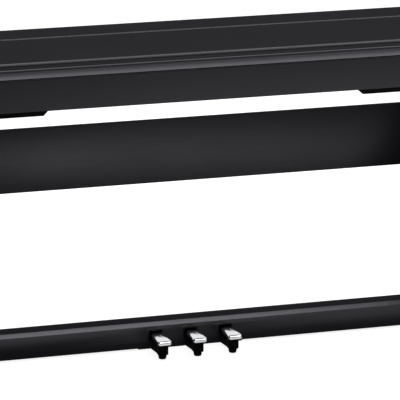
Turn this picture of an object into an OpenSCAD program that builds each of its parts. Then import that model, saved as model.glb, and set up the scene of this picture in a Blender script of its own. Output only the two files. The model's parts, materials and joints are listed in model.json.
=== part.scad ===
// Slim 88-key digital piano on a two-leg stand, with a hinged lid and three pedals.
// It stands on z = 0 with x = 0 at its middle. +X is the treble end, +Y is the back,
// and the player sits at -Y. The lid is closed, the keys are up and the pedals are up.

/* [Cabinet] */
// Overall width
body_w = 1360; // [1350:5:1400]
// Overall depth
body_d = 350; // [346:1:356]
// Overall height with the lid closed
body_h = 774; // [765:1:800]
// Height of the case, from its underside to its top
case_h = 112; // [109:0.5:113]
// Thickness of the lid and of the top board
top_t = 14.5; // [14:0.5:15]
// Thickness of the end boards
end_t = 22; // [20:1:24]
// Thickness of the key slip, the front board below the keys
slip_t = 20; // [18:1:20]

/* [Lid] */
// Distance from the back of the case to the lid's hinge axis
hinge_back = 100; // [98:1:102]
// How far the lid's front edge stands behind the front of the case
lid_setback = 16.5; // [16:0.5:17.5]
// Height of the coved lip below the lid
lip_h = 19.2; // [18:0.2:19.4]
// Radius of the cove in the lip
cove_r = 40; // [36:1:60]
// Outside radius of the hinge knuckles
knuckle_r = 3; // [2.8:0.1:3]

/* [Keys] */
// Distance from one white key to the next
key_pitch = 23.5; // [23.5:0.1:23.6]
// Length of a white key's playing surface
white_len = 150; // [146:1:150]
// Length of a black key
black_len = 95; // [90:1:97]
// Height of the black keys above the white ones
black_rise = 11.5; // [10:0.5:12]
// Gap between neighbouring white keys
key_gap = 1; // [0.8:0.1:1.2]

/* [Speakers] */
// Distance from the middle to a speaker box's inner end
box_x0 = 370.5; // [366:0.5:396]
// Height of a speaker box below the case
box_h = 16; // [14:0.5:18]

/* [Stand] */
// Thickness of the side boards
side_t = 30; // [26:1:32]
// Height of the feet's top above the floor
foot_top = 45; // [40:1:48]
// Lower edge of the backboard above the floor
backboard_z = 376.5; // [360:0.5:400]
// Height of the backboard
backboard_h = 158; // [140:1:180]
// Height of the pedal rail's top above the floor
rail_top = 68.4; // [67:0.1:72]
// Width of the bevel along the pedal rail
rail_bevel = 8.9; // [6:0.1:10]

/* [Pedals] */
// Distance from one pedal to the next
pedal_pitch = 88; // [82:1:92]
// Length of a pedal from its pivot to its tip
pedal_len = 197; // [190:1:200]
// Angle by which a pedal rises towards its tip
pedal_tilt = 5.5; // [4:0.1:6]
// Width of a pedal at its tip
pedal_w = 37; // [34:1:38]
// Width of a pedal where it enters the rail
pedal_root_w = 25; // [24:1:26]

/* [Hidden] */
$fn = 48;
eps = 0.01;

// Planes of the case
y_front = -body_d / 2;
y_back = body_d / 2;
z_lid = body_h - top_t;              // underside of the lid
z_case = body_h - case_h;            // underside of the case
x_in = body_w / 2 - end_t;           // inner face of an end board
bed_t = 15;                          // keybed thickness
z_bed = z_case + bed_t;
back_t = 12;                         // back panel thickness
y_slip = y_front + slip_t;           // back of the key slip
y_lid = y_front + lid_setback;       // front edge of the lid
z_lip = z_lid - lip_h;               // bottom of the lip
lid_rest = 1.1;                      // gap that the rubber buffers fill
z_slip = z_lip - lid_rest;           // top of the key slip
edge = 1;                            // chamfer along the boards' visible edges
lid_round = 8;                       // radius along the lid's front edge
board_round = 5;                     // radius along the top board's front edge
slip_round = 3;                      // radius along the key slip's top edge

// Lid hinge
y_hinge = y_back - hinge_back;
z_hinge = body_h - knuckle_r;
hinge_side = 4;                      // from the axis to each board's edge
leaf_t = 0.8;
hinge_pin_r = 1.25;
hinge_len = 1280;
knuckle_n = 32;                      // knuckles on both leaves together
knuckle_gap = 0.5;
lid_play = 1.5;                      // gap between the lid and each end board
lid_w = 2 * (x_in - lid_play);

// Keyboard
white_n = 52;
keys_w = white_n * key_pitch;
octave = 7 * key_pitch;
y_key = y_slip + 3;                  // front of the white keys
y_key_back = y_key + white_len;      // back of the playing surface
z_white = z_slip + 2.7;              // top of the white keys
key_body = 12;                       // depth of a key's body below its top
key_skirt = 24;                      // depth of a white key's front face
pivot_y = 58;
pivot_z = z_white - 7;
key_end = pivot_y + 8;
rod_r = 2.5;
run_gap = 0.05;                      // radial clearance of every running pin
black_w = 11;                        // black key width at its foot
black_top_w = 9.4;
notch_gap = 0.75;                    // gap between a black key and its white neighbours
white_stub_w = 10;                   // width of a key behind its playing surface
black_stub_w = 8;
// The octave's black keys: how far each one's centre is from the left side of C
sharp_at = [1.5 * 3 / 5, 3.5 * 3 / 5, 3 + 1.5 * 4 / 7, 3 + 3.5 * 4 / 7, 3 + 5.5 * 4 / 7];
sharp_left = [0, 1, 3, 4, 5];        // the white key at the left of each one
first_note = 5;                      // the lowest white key is an A
c4_white = 23;                       // white keys below middle C

// Control panel and cheeks
z_panel = z_white + 8;               // top of the control panel
panel_t = 3;
y_panel = y_key_back + 3;
y_panel_back = y_hinge + 10;
cheek_gap = 2;
x_cheek = keys_w / 2 + cheek_gap;
cheek_mid = (x_cheek + x_in) / 2;
button_xs = [-560, -532, -504];      // tone, metronome and function buttons
button_w = 18;
button_d = 8;
button_y = 36;
button_gap = 0.3;
power_y = -30;
power_r = 6;
knob_y = -90;
knob_r = 9;
knob_shaft_r = 3;

// Speakers under the keybed
box_x1 = 568;                        // outer end of a speaker box
box_y0 = y_front + 18;
box_y1 = 160;
box_slope = 15;                      // how far a speaker box's inner end leans
box_wall = 2.5;
driver_x = 480;
driver_y = 112;
driver_r = 40;

// Stand
side_x = body_w / 2 - side_t;        // inner face of a side board
side_y0 = -100;
side_y1 = 160;
foot_w = 40;
foot_x = body_w / 2 - foot_w;
foot_pad = 5;
backboard_y = 140;
backboard_t = 15;
rail_y = -14;                        // front of the pedal rail
rail_d = 50;
rail_t = 15;
rail_z = 4.6;

// Pedals
pedal_y = 85;                        // pivot of the pedals
pedal_z = 26;
pedal_pin_r = 3;
pedal_top = 8.9;                     // top of a pedal above the line through its pivot
pedal_skin = 2.2;
pedal_skirt = 11.5;
pedal_in = 92;                       // where the plated cover starts, from the pivot
slot_w = 31;
slot_z0 = 24;
slot_z1 = 49;
unit_w = 262;                        // width of the pedal box
unit_z = 1.5;
unit_back_z = 41;                    // height of the pedal box at its back
post_y0 = -94;                       // front and back of a support's post
post_y1 = -70;
post_w = 24;
post_z = 10.5;
post_top = 36;

// Fixings
bolt_r = 3;
bolt_head_r = 6.5;
bolt_head_t = 4;
bolt_len = 50;
bolt_zs = [420, 500];                // backboard bolts
rail_bolt_z = 25;
rail_bolt_y = rail_y + rail_t / 2;
bracket_ys = [-60, 100];

// Shapes that repeat

// A length along X whose section is a list of [y, z] points, from x0 to x1
module along_x(points, x0, x1)
    translate([x0, 0, 0]) rotate([90, 0, 90]) linear_extrude(x1 - x0) polygon(points);

// The same along Y, with a section of [x, z] points
module along_y(points, y0, y1)
    translate([0, y1, 0]) rotate([90, 0, 0]) linear_extrude(y1 - y0) polygon(points);

module box(low, high)
    translate(low) cube(high - low);

// A corner's points, from the angle a0 to the angle a1 about [y, z]
function corner(y, z, r, a0, a1) =
    [for (n = [0:4]) let (a = a0 + (a1 - a0) * n / 4) [y + r * cos(a), z + r * sin(a)]];

module rod_x(r, x0, x1, y, z)
    translate([x0, y, z]) rotate([0, 90, 0]) cylinder(r = r, h = x1 - x0);

module rod_y(r, y0, y1, x, z)
    translate([x, y0, z]) rotate([-90, 0, 0]) cylinder(r = r, h = y1 - y0);

module both_sides()
    for (side = [0, 1]) mirror([side, 0, 0]) children();

// Cabinet

module keybed()
    color("#1c1b1e") difference() {
        box([-x_in, y_slip, z_case], [x_in, y_back, z_bed]);
        both_sides() translate([driver_x, driver_y, z_case - eps]) cylinder(r = driver_r - 4, h = bed_t + 1);
    }

module end_board()
    along_x([[y_front, z_case], [y_front, z_lip], [y_lid, z_lid], [y_lid, body_h - edge],
        [y_lid + edge, body_h], [y_back - edge, body_h], [y_back, body_h - edge], [y_back, z_case]],
        x_in, body_w / 2);

module end_board_left() color("#232226") mirror([1, 0, 0]) end_board();

module end_board_right() color("#232226") end_board();

// The opening for the sockets' plate
plate_x0 = -560;
plate_w = 120;
plate_h = 40;
plate_z = z_bed + 40;                // middle of the plate

module back_panel()
    color("#1c1b1e") difference() {
        box([-x_in, y_back - back_t, z_bed], [x_in, y_back, z_lid]);
        box([plate_x0, y_back - back_t - 1, plate_z - plate_h / 2],
            [plate_x0 + plate_w, y_back + 1, plate_z + plate_h / 2]);
    }

module top_board()
    color("#232226") along_x(concat([[y_hinge + hinge_side, z_lid]],
        corner(y_hinge + hinge_side + board_round, body_h - board_round, board_round, 180, 90),
        [[y_back - edge, body_h], [y_back, body_h - edge], [y_back, z_lid]]), -x_in, x_in);

module key_slip()
    color("#232226") along_x(concat([[y_front, z_case]],
        corner(y_front + slip_round, z_slip - slip_round, slip_round, 180, 90),
        [[y_slip, z_slip], [y_slip, z_case]]), -x_in, x_in);

module control_panel()
    color("#17171a") difference() {
        along_x([[y_panel, z_panel - 2 * panel_t], [y_panel, z_panel - 1], [y_panel + 1, z_panel],
            [y_panel_back, z_panel], [y_panel_back, z_panel - panel_t],
            [y_panel + panel_t, z_panel - panel_t], [y_panel + panel_t, z_panel - 2 * panel_t]],
            -keys_w / 2, keys_w / 2);
        for (x = button_xs) button_hole(x);
    }

module button_hole(x)
    box([x - button_w / 2 - button_gap, button_y - button_d / 2 - button_gap, z_panel - panel_t - 1],
        [x + button_w / 2 + button_gap, button_y + button_d / 2 + button_gap, z_panel + 1]);

// The ledge that sheet music stands against
stop_y = y_panel + 5;
stop_t = 3;
stop_h = 2.5;

module music_stop()
    color("#0c0c0d") box([-keys_w / 4, stop_y, z_panel], [keys_w / 4, stop_y + stop_t, z_panel + stop_h]);

// The felt strip below the front edge of the control panel
felt_t = 2;
felt_d = 9;

module key_felt()
    color("#7a1420") box([-keys_w / 2, y_panel - 1, z_panel - 2 * panel_t - felt_t],
        [keys_w / 2, y_panel - 1 + felt_d, z_panel - 2 * panel_t]);

// The blocks at both ends of the keys. The left one holds the power button and the knob.
cheek_slope = 10;
control_depth = 9;                   // depth of the holes for the button and the knob

module cheek_blocks()
    color("#17171a") both_sides() difference() {
        along_x([[y_slip, z_bed], [y_slip, z_slip], [y_slip + cheek_slope, z_panel],
            [y_panel_back, z_panel], [y_panel_back, z_bed]], x_cheek, x_in);
        translate([cheek_mid, power_y, z_panel - control_depth])
            cylinder(r = power_r + button_gap, h = control_depth + 1);
        translate([cheek_mid, knob_y, z_panel - control_depth])
            cylinder(r = knob_shaft_r + run_gap, h = control_depth + 1);
    }

// Lid and its hinge

module lid_panel()
    color("#232226") along_x(concat([[y_lid, z_lid]],
        corner(y_lid + lid_round, body_h - lid_round, lid_round, 180, 90),
        [[y_hinge - hinge_side - edge, body_h], [y_hinge - hinge_side, body_h - edge],
        [y_hinge - hinge_side, z_lid]]), -lid_w / 2, lid_w / 2);

// The lip hangs below the lid's front edge. A bead runs along its top, and below that a
// cove sweeps out to the front of the case.
bead = 5;
bead_h = 5.5;
lip_deep = 18;                       // depth of the lip where it meets the lid
lip_gap = 2.5;                       // from the lip's back to the back of the key slip
lip_top = [y_lid - bead, z_lid - bead_h];
lip_foot = [y_front + 0.3, z_lip];
lip_mid = (lip_top + lip_foot) / 2;
lip_run = lip_foot - lip_top;
lip_half = norm(lip_run) / 2;
cove_mid = lip_mid + [lip_run[1], -lip_run[0]] / (2 * lip_half) * sqrt(cove_r * cove_r - lip_half * lip_half);

module lid_lip()
    color("#2a292d") difference() {
        along_x([[y_lid + lip_deep, z_lid], lip_top + [0, bead_h], lip_top, lip_foot,
            [y_slip - lip_gap, z_lip], [y_slip - lip_gap, z_lip + 7]], -lid_w / 2, lid_w / 2);
        rod_x(cove_r, -lid_w, lid_w, cove_mid[0], cove_mid[1]);
    }

// Rubber pads under the lip
buffer_xs = [-600, -200, 200, 600];
buffer_r = 4;
buffer_gap = 0.1;                    // between the pads and the key slip

module lid_buffers()
    color("#0c0c0d") for (x = buffer_xs) translate([x, y_slip - 7, z_slip + buffer_gap])
        cylinder(r = buffer_r, h = lid_rest - buffer_gap);

// One leaf of the hinge: a plate on a board's edge, and every second knuckle
module hinge_leaf(first, side) {
    pitch = hinge_len / knuckle_n;
    plate = side * hinge_side;
    difference() {
        union() {
            box([-hinge_len / 2, y_hinge + min(plate, plate - side * leaf_t), z_lid + 1],
                [hinge_len / 2, y_hinge + max(plate, plate - side * leaf_t), z_hinge]);
            for (i = [first:2:knuckle_n - 1]) {
                x = -hinge_len / 2 + i * pitch;
                rod_x(knuckle_r, x + knuckle_gap / 2, x + pitch - knuckle_gap / 2, y_hinge, z_hinge);
                box([x + knuckle_gap / 2, y_hinge + min(0, plate), z_hinge - 2],
                    [x + pitch - knuckle_gap / 2, y_hinge + max(0, plate), z_hinge]);
            }
        }
        rod_x(hinge_pin_r + run_gap, -hinge_len, hinge_len, y_hinge, z_hinge);
    }
}

module lid_hinge_fixed_leaf() color("#6d6d72") hinge_leaf(0, 1);

module lid_hinge_moving_leaf() color("#6d6d72") hinge_leaf(1, -1);

module lid_hinge_pin() color("#8c8c90") rod_x(hinge_pin_r, -hinge_len / 2, hinge_len / 2, y_hinge, z_hinge);

// Keyboard

// Which note a white key is, with C as 0
function note(i) = (i + first_note) % 7;
// Left side of a white key
function key_x(i) = -keys_w / 2 + i * key_pitch;
// Left side of the octave that a white key is in
function octave_x(i) = key_x(i) - note(i) * key_pitch;
// Centre of the octave's black key number k
function sharp_x(i, k) = octave_x(i) + sharp_at[k] * key_pitch;
// Index of the black key at the right and at the left of a white key, or undef
function sharp_right_of(i) = i == white_n - 1 ? undef : find(note(i), 0);
function sharp_left_of(i) = i == 0 || note(i) == 0 ? undef : find(note(i) - 1, 0);
function find(n, k) = k > 4 ? undef : sharp_left[k] == n ? k : find(n, k + 1);
// Sides of a white key between its black neighbours
function narrow_x0(i) = is_undef(sharp_left_of(i)) ? key_x(i) + key_gap / 2
    : sharp_x(i, sharp_left_of(i)) + black_w / 2 + notch_gap;
function narrow_x1(i) = is_undef(sharp_right_of(i)) ? key_x(i) + key_pitch - key_gap / 2
    : sharp_x(i, sharp_right_of(i)) - black_w / 2 - notch_gap;

// The part of a key behind its playing surface, with the bore for the pivot rod
module key_stub(x, w)
    difference() {
        box([x - w / 2, y_key_back - 4, z_white - key_body], [x + w / 2, key_end, z_white - 2]);
        rod_x(rod_r + run_gap, x - w, x + w, pivot_y, pivot_z);
    }

module white_key(i) {
    x0 = key_x(i) + key_gap / 2;
    x1 = key_x(i) + key_pitch - key_gap / 2;
    y_notch = y_key_back - black_len - notch_gap;
    intersection() {
        translate([0, 0, z_white - key_skirt - 1]) linear_extrude(key_skirt + 2)
            polygon([[x0, y_key], [x1, y_key], [x1, y_notch], [narrow_x1(i), y_notch],
                [narrow_x1(i), y_key_back], [narrow_x0(i), y_key_back], [narrow_x0(i), y_notch],
                [x0, y_notch]]);
        along_x([[y_key, z_white - key_skirt], [y_key, z_white - 1], [y_key + 1, z_white],
            [y_key_back, z_white], [y_key_back, z_white - key_body], [y_key + 5, z_white - key_body],
            [y_key + 5, z_white - key_skirt]], x0, x1);
    }
    key_stub((narrow_x0(i) + narrow_x1(i)) / 2, white_stub_w);
}

module black_key(i, k) {
    x = sharp_x(i, k);
    y0 = y_key_back - black_len;
    z_top = z_white + black_rise;
    intersection() {
        translate([0, y_key_back, 0]) rotate([90, 0, 0]) linear_extrude(black_len)
            polygon([[x - black_w / 2, z_white - key_body], [x + black_w / 2, z_white - key_body],
                [x + black_w / 2, z_white], [x + black_top_w / 2, z_top], [x - black_top_w / 2, z_top],
                [x - black_w / 2, z_white]]);
        along_x([[y0, z_white - key_body], [y0, z_white], [y0 + 5, z_top - 1], [y0 + 7, z_top],
            [y_key_back, z_top], [y_key_back, z_white - key_body]], x - black_w, x + black_w);
    }
    key_stub(x, black_stub_w);
}

// The middle octave's keys move one by one. The other keys are in two sets.
function in_middle(i) = i >= c4_white && i < c4_white + 7;

module white_keys()
    color("#f1efe8") for (i = [0:white_n - 1]) if (!in_middle(i)) white_key(i);

module black_keys()
    color("#131214") for (i = [0:white_n - 2]) if (!in_middle(i) && !is_undef(sharp_right_of(i)))
        black_key(i, sharp_right_of(i));

module middle_white(n) color("#f1efe8") white_key(c4_white + n);

module middle_black(k) color("#131214") black_key(c4_white + sharp_left[k], k);

// The metal frame below the keys: a plate, a front rail, and a back rail whose ribs
// stand between the octaves and at both ends, and hold the pivot rod
chassis_t = 3;
front_rail_h = 22;
back_rail_h = 20;
rib_t = 1.8;

module key_chassis()
    color("#77787c") difference() {
        union() {
            box([-keys_w / 2, y_key, z_bed], [keys_w / 2, key_end, z_bed + chassis_t]);
            box([-keys_w / 2, y_key + 4, z_bed], [keys_w / 2, y_key + 24, z_bed + front_rail_h]);
            box([-keys_w / 2, pivot_y - 14, z_bed], [keys_w / 2, key_end, z_bed + back_rail_h]);
            for (n = [0:7]) chassis_rib(key_x(2) + n * octave);
            for (x = [key_x(0) - rib_t / 2, key_x(white_n) + rib_t / 2]) chassis_rib(x);
        }
        rod_x(rod_r, -keys_w, keys_w, pivot_y, pivot_z);
    }

module chassis_rib(x)
    box([x - rib_t / 2, pivot_y - 8, z_bed], [x + rib_t / 2, key_end, pivot_z + 5]);

module key_pivot_rod() color("#a9aaae") rod_x(rod_r, -keys_w / 2, keys_w / 2, pivot_y, pivot_z);

// Controls

// A button that slides down through a hole in its panel, with a flange that keeps it in
button_rise = 1.5;
button_travel = 2;                   // gap between the panel and the flange
flange_t = 2;

module push_button(x)
    color("#3a3a3f") {
        box([x - button_w / 2, button_y - button_d / 2, z_panel - panel_t - button_travel],
            [x + button_w / 2, button_y + button_d / 2, z_panel + button_rise]);
        box([x - button_w / 2 - 2, button_y - button_d / 2 - 1, z_panel - panel_t - button_travel - flange_t],
            [x + button_w / 2 + 2, button_y + button_d / 2 + 1, z_panel - panel_t - button_travel + eps]);
    }

power_rise = 2;
power_depth = 7;

module power_button()
    color("#3a3a3f") translate([-cheek_mid, power_y, z_panel - power_depth])
        cylinder(r = power_r, h = power_depth + power_rise);

// The knob turns on a shaft in the left block, and has a notch that shows its setting
knob_h = 5;
knob_gap = 0.5;
knob_depth = 8;
notch_w = 1.2;
notch_len = 5;

module volume_knob()
    color("#3a3a3f") translate([-cheek_mid, knob_y, z_panel]) {
        translate([0, 0, -knob_depth]) cylinder(r = knob_shaft_r, h = knob_depth + 1);
        difference() {
            translate([0, 0, knob_gap]) cylinder(r = knob_r, h = knob_h);
            box([-notch_w / 2, -knob_r, knob_h], [notch_w / 2, -knob_r + notch_len, knob_h + 1]);
        }
    }

// Speakers, boards and sockets

// A tray below the keybed. Its inner end leans, and slots in its floor let the sound out.
sound_slots = 9;
sound_pitch = 8;
sound_w = 3;
sound_len = 72;

module speaker_box() {
    low = z_case - box_h;
    // the leaning wall's thickness, measured along X
    end_wall = box_wall * sqrt(1 + pow(box_slope / box_h, 2));
    difference() {
        along_y([[box_x0, z_case], [box_x0 + box_slope, low], [box_x1, low], [box_x1, z_case]],
            box_y0, box_y1);
        along_y([[box_x0 + end_wall - box_slope / box_h, z_case + 1],
            [box_x0 + end_wall + box_slope * (1 - box_wall / box_h), low + box_wall],
            [box_x1 - box_wall, low + box_wall], [box_x1 - box_wall, z_case + 1]],
            box_y0 + box_wall, box_y1 - box_wall);
        for (n = [0:sound_slots - 1]) let (y = driver_y - 34 + n * sound_pitch)
            box([driver_x - sound_len / 2, y, low - 1],
                [driver_x + sound_len / 2, y + sound_w, low + box_wall + 1]);
    }
}

module speaker_box_left() color("#0d0d0f") mirror([1, 0, 0]) speaker_box();

module speaker_box_right() color("#0d0d0f") speaker_box();

// Two drivers that face down through the keybed: a flange, a basket and a magnet each
module speaker_drivers()
    color("#2b2b2e") both_sides() translate([driver_x, driver_y, z_bed]) rotate_extrude()
        polygon([[0, 10], [14, 8], [driver_r - 10, 0], [driver_r, 0], [driver_r, 3], [driver_r - 6, 3],
            [26, 18], [26, 34], [0, 34]]);

module main_board()
    color("#1f5a37") translate([-300, y_back - 60, z_bed]) {
        for (x = [-70, 70], y = [-18, 18]) translate([x, y, 0]) cylinder(r = 3, h = 12);
        translate([-80, -25, 12]) cube([160, 50, 1.6]);
        translate([-30, -12, 13.6]) cube([24, 24, 2]);
        translate([20, -8, 13.6]) cube([16, 16, 2]);
        for (n = [0:2]) translate([-64 + n * 13, 8, 13.6]) cylinder(r = 5, h = 14);
    }

// A small box below the keybed with two 6.35 mm sockets in its front
phone_xs = [-622, -594];
phone_x0 = -636;
phone_w = 56;
phone_d = 70;
phone_h = 28;
phone_y = -168;                      // front face of the box
phone_r = 3.25;
phone_depth = 22;
phone_collar_r = 6;
phone_collar_h = 2;

module headphone_box()
    color("#0d0d0f") difference() {
        union() {
            box([phone_x0, phone_y, z_case - phone_h], [phone_x0 + phone_w, phone_y + phone_d, z_case]);
            for (x = phone_xs)
                rod_y(phone_collar_r, phone_y - phone_collar_h, phone_y + eps, x, z_case - phone_h / 2);
        }
        for (x = phone_xs) rod_y(phone_r, phone_y - phone_collar_h - 1,
            phone_y - phone_collar_h + phone_depth, x, z_case - phone_h / 2);
    }

// The plate in the back panel, with the sockets for power, pedals and two data leads
plate_t = 3;
plate_gap = 0.5;
power_x = -540;
power_bore_r = 3;
pedal_plug_x = -514;
pedal_plug_r = 4.6;
collar_r = 6.5;
collar_h = 8;
data_xs = [-488, -462];
data_w = 12;
data_h = 6;
data_z = plate_z - 4;                // lower edge of the data sockets

module jack_plate()
    color("#0d0d0f") difference() {
        union() {
            box([plate_x0 + plate_gap, y_back - back_t, plate_z - plate_h / 2 + plate_gap],
                [plate_x0 + plate_w - plate_gap, y_back - back_t + plate_t,
                    plate_z + plate_h / 2 - plate_gap]);
            for (x = [power_x, pedal_plug_x])
                rod_y(collar_r, y_back - back_t, y_back - back_t + collar_h, x, plate_z);
        }
        rod_y(power_bore_r, y_back - back_t + 1, y_back, power_x, plate_z);
        rod_y(pedal_plug_r, y_back - back_t + 1, y_back, pedal_plug_x, plate_z);
        for (x = data_xs)
            box([x - data_w / 2, y_back - back_t - 1, data_z], [x + data_w / 2, y_back, data_z + data_h]);
    }

// Stand

module side_board()
    difference() {
        along_x([[side_y0, foot_top], [side_y0, z_case], [side_y1, z_case], [side_y1, foot_top]],
            side_x, body_w / 2);
        for (z = bolt_zs) bolt_hole(backboard_y + backboard_t / 2, z);
    }

// The hole for one bolt along X, with a counterbore for its head
module bolt_hole(y, z) {
    rod_x(bolt_r + 0.2, side_x - bolt_len, body_w / 2, y, z);
    rod_x(bolt_head_r + 0.5, body_w / 2 - bolt_head_t - 1, body_w / 2 + 1, y, z);
}

module side_board_left() color("#232226") mirror([1, 0, 0]) side_board();

module side_board_right() color("#232226") side_board();

// The feet slope down to a low toe in front, and have a small chamfer behind
toe_z = 26;
toe_len = 40;
heel = 10;

module stand_feet()
    color("#232226") both_sides() difference() {
        along_x([[y_front, foot_pad], [y_front, toe_z], [y_front + toe_len, foot_top],
            [y_back - heel, foot_top], [y_back, foot_top - heel], [y_back, foot_pad]], foot_x, body_w / 2);
        bolt_hole(rail_bolt_y, rail_bolt_z);
    }

pad_r = 14;
pad_inset = 25;
post_pad_r = 9;

module rubber_feet()
    color("#0c0c0d") {
        both_sides() for (y = [y_front + pad_inset, y_back - pad_inset])
            translate([body_w / 2 - foot_w / 2, y, 0]) cylinder(r = pad_r, h = foot_pad);
        for (x = pedal_xs) translate([x, (post_y0 + post_y1) / 2, 0]) cylinder(r = post_pad_r, h = post_z);
    }

module backboard()
    color("#232226") difference() {
        box([-side_x, backboard_y, backboard_z],
            [side_x, backboard_y + backboard_t, backboard_z + backboard_h]);
        both_sides() for (z = bolt_zs) bolt_hole(backboard_y + backboard_t / 2, z);
    }

module pedal_rail()
    color("#232226") difference() {
        along_x([[rail_y, rail_z], [rail_y, rail_top - rail_bevel], [rail_y + rail_bevel, rail_top],
            [rail_y + rail_d, rail_top], [rail_y + rail_d, rail_top - rail_t],
            [rail_y + rail_t, rail_top - rail_t], [rail_y + rail_t, rail_z]], -foot_x, foot_x);
        for (x = pedal_xs) box([x - slot_w / 2, rail_y - 1, slot_z0],
            [x + slot_w / 2, rail_y + rail_t + 1, slot_z1]);
        both_sides() bolt_hole(rail_bolt_y, rail_bolt_z);
    }

// Bolts through the side boards and the feet, and the angle brackets under the keybed
bracket_leg = 32;
bracket_t = 3;
bracket_w = 25;

module stand_fixings()
    color("#8c8c90") both_sides() {
        for (z = bolt_zs) side_bolt(backboard_y + backboard_t / 2, z);
        side_bolt(rail_bolt_y, rail_bolt_z);
        for (y = bracket_ys) translate([side_x, y + bracket_w / 2, z_case]) rotate([90, 0, 0])
            linear_extrude(bracket_w) polygon([[0, 0], [-bracket_leg, 0], [-bracket_leg, -bracket_t],
                [-bracket_t, -bracket_t], [-bracket_t, -bracket_leg], [0, -bracket_leg]]);
    }

hex_r = 2.9;
hex_depth = 2.5;

module side_bolt(y, z) {
    x_head = body_w / 2 - 1;         // outer face of the head
    rod_x(bolt_r, body_w / 2 - bolt_len - bolt_head_t, body_w / 2 - bolt_head_t, y, z);
    difference() {
        rod_x(bolt_head_r, x_head - bolt_head_t, x_head, y, z);
        translate([x_head - hex_depth, y, z]) rotate([0, 90, 0])
            cylinder(r = hex_r, h = hex_depth + 1, $fn = 6);
    }
}

// Pedals

pedal_xs = [-pedal_pitch, 0, pedal_pitch];

// The frame of one pedal: its pivot at the origin, its tip at y = -pedal_len
module pedal_place(x)
    translate([x, pedal_y, pedal_z]) rotate([-pedal_tilt, 0, 0]) children();

// Half the width of a pedal at a distance from its pivot
pedal_slope = (pedal_w - pedal_root_w) / 2 / (pedal_len - pedal_in);
pedal_flare = atan(pedal_slope);
function pedal_half(s) = pedal_root_w / 2 + pedal_slope * (s - pedal_in);

// A pedal from above. Each front corner is rounded in four steps.
module pedal_outline(inset) {
    r = 7 - inset;
    cy = -pedal_len + inset + r;
    side_inset = inset / cos(pedal_flare);
    cx = pedal_half(-cy) - side_inset - r / cos(pedal_flare);
    root = pedal_half(pedal_in) - side_inset;
    turn = (90 + pedal_flare) / 4;
    right = [for (n = [0:4]) [cx, cy] + r * [cos(pedal_flare - n * turn), sin(pedal_flare - n * turn)]];
    left = [for (n = [4:-1:0]) [-right[n][0], right[n][1]]];
    polygon(concat([[-root, -pedal_in], [root, -pedal_in]], right, left));
}

// A plated cover, open below
module pedal(x)
    color("#d6d7da") pedal_place(x) difference() {
        translate([0, 0, pedal_top - pedal_skirt]) linear_extrude(pedal_skirt) pedal_outline(0);
        translate([0, 0, pedal_top - pedal_skirt - 1]) linear_extrude(pedal_skirt + 1 - pedal_skin)
            pedal_outline(pedal_skin);
    }

// The lever that carries the cover and turns on the pivot pin
module pedal_lever(x)
    color("#0d0d0f") pedal_place(x) difference() {
        union() {
            box([-7, -pedal_len + 12, pedal_top - pedal_skin - 3], [7, -pedal_in, pedal_top - pedal_skin]);
            box([-7, -pedal_in - 6, -5], [7, 9, pedal_top - pedal_skin - 0.2]);
        }
        rod_x(pedal_pin_r + run_gap, -10, 10, 0, 0);
    }

module pedal_pivot_pin()
    color("#a9aaae") rod_x(pedal_pin_r, -unit_w / 2, unit_w / 2, pedal_y, pedal_z);

// The housing behind the rail, open to the front, on a base plate that reaches under the
// rail. Behind the rail its top slopes down to the back.
module pedal_box() {
    wall = 3;
    y1 = pedal_y + 25;
    y0 = rail_y + rail_t + 0.5;
    y_slope = rail_y + rail_d;
    z1 = rail_top - rail_t - 0.5;
    color("#0d0d0f") difference() {
        union() {
            box([-unit_w / 2, rail_y + 2, unit_z], [unit_w / 2, y1, rail_z - 0.1]);
            difference() {
                along_x([[y0, unit_z], [y0, z1], [y_slope, z1], [y1, unit_back_z], [y1, unit_z]],
                    -unit_w / 2, unit_w / 2);
                along_x([[y0 - 1, rail_z - 0.1], [y0 - 1, z1 - wall], [y_slope, z1 - wall],
                    [y1 - wall, unit_back_z - wall], [y1 - wall, rail_z - 0.1]],
                    -unit_w / 2 + wall, unit_w / 2 - wall);
            }
            for (x = [-pedal_pitch / 2, pedal_pitch / 2])
                box([x - 2, pedal_y - 12, unit_z], [x + 2, y1, pedal_z + 12]);
        }
        rod_x(pedal_pin_r, -unit_w, unit_w, pedal_y, pedal_z);
    }
}

// Coil springs between the base plate and each lever
spring_y = 34;
spring_r = 5.5;
wire_r = 0.8;
coils = 4;
coil_steps = 12;
spring_low = rail_z - 0.1 + wire_r;
spring_high = 25.2;

module pedal_springs()
    color("#a9aaae") for (x = pedal_xs) translate([x, spring_y, 0]) coil();

function on_coil(t) = [spring_r * cos(360 * coils * t), spring_r * sin(360 * coils * t),
    spring_low + (spring_high - spring_low) * t];

module coil() {
    rings = coils * coil_steps;
    sides = 6;
    points = [for (j = [0:rings]) for (s = [0:sides - 1])
        let (a = 360 * coils * j / rings, b = 360 * s / sides)
        on_coil(j / rings) + wire_r * [cos(b) * cos(a), cos(b) * sin(a), sin(b)]];
    skin = [for (j = [0:rings - 1]) for (s = [0:sides - 1])
        let (n = (s + 1) % sides)
        [j * sides + s, (j + 1) * sides + s, (j + 1) * sides + n, j * sides + n]];
    near_cap = [[for (s = [0:sides - 1]) s]];
    far_cap = [[for (s = [sides - 1:-1:0]) rings * sides + s]];
    polyhedron(points, concat(skin, near_cap, far_cap));
}

// Arms from the base plate to a post under each pedal's tip. The post stops the pedal.
module pedal_supports()
    color("#0d0d0f") for (x = pedal_xs)
        along_x([[rail_y + 1.8, unit_z], [rail_y + 1.8, rail_z - 0.3], [rail_y - 0.4, rail_z - 0.3],
            [rail_y - 0.4, 20], [post_y1 + 4, 22], [post_y1, post_top - 1], [post_y1 - 1, post_top],
            [post_y0 + 3, post_top], [post_y0, post_top - 3], [post_y0, post_z], [post_y1 + 4, post_z]],
            x - post_w / 2, x + post_w / 2);

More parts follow.
